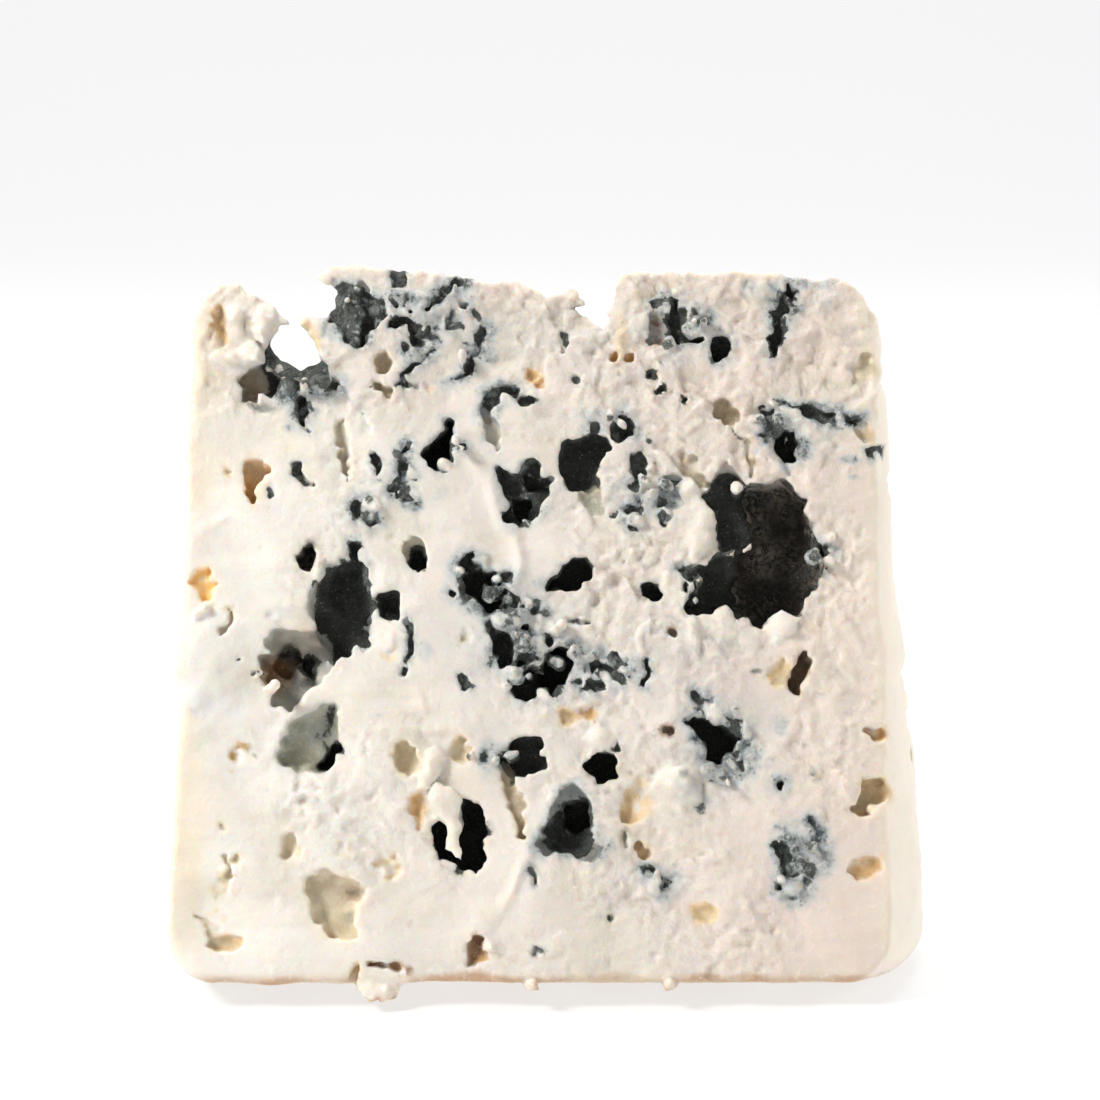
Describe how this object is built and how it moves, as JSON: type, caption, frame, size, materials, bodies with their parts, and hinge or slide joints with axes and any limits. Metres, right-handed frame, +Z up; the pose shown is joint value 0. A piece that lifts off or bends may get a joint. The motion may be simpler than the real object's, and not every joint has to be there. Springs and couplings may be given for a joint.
{
  "type": "blue cheese wedge",
  "caption": "Wedge of veined blue sheep's-milk cheese, a tenth of a wheel standing on its rind with the tip edge up, its cut faces pitted with mould-lined hollows.",
  "frame": {"origin": "middle of the foot, on the flat spot of the rind", "axes": "+Z up from the rind to the tip edge, +X along the wheel's axis, -Y out of the front cut face"},
  "size_m": [0.1042, 0.0601, 0.0955],
  "materials": {
    "paste": "moist ivory cheese paste with blue-green mould in its hollows, thin brownish rind at the foot"
  },
  "bodies": {
    "root": {"cheese_wedge": "paste"}
  },
  "joints": []
}
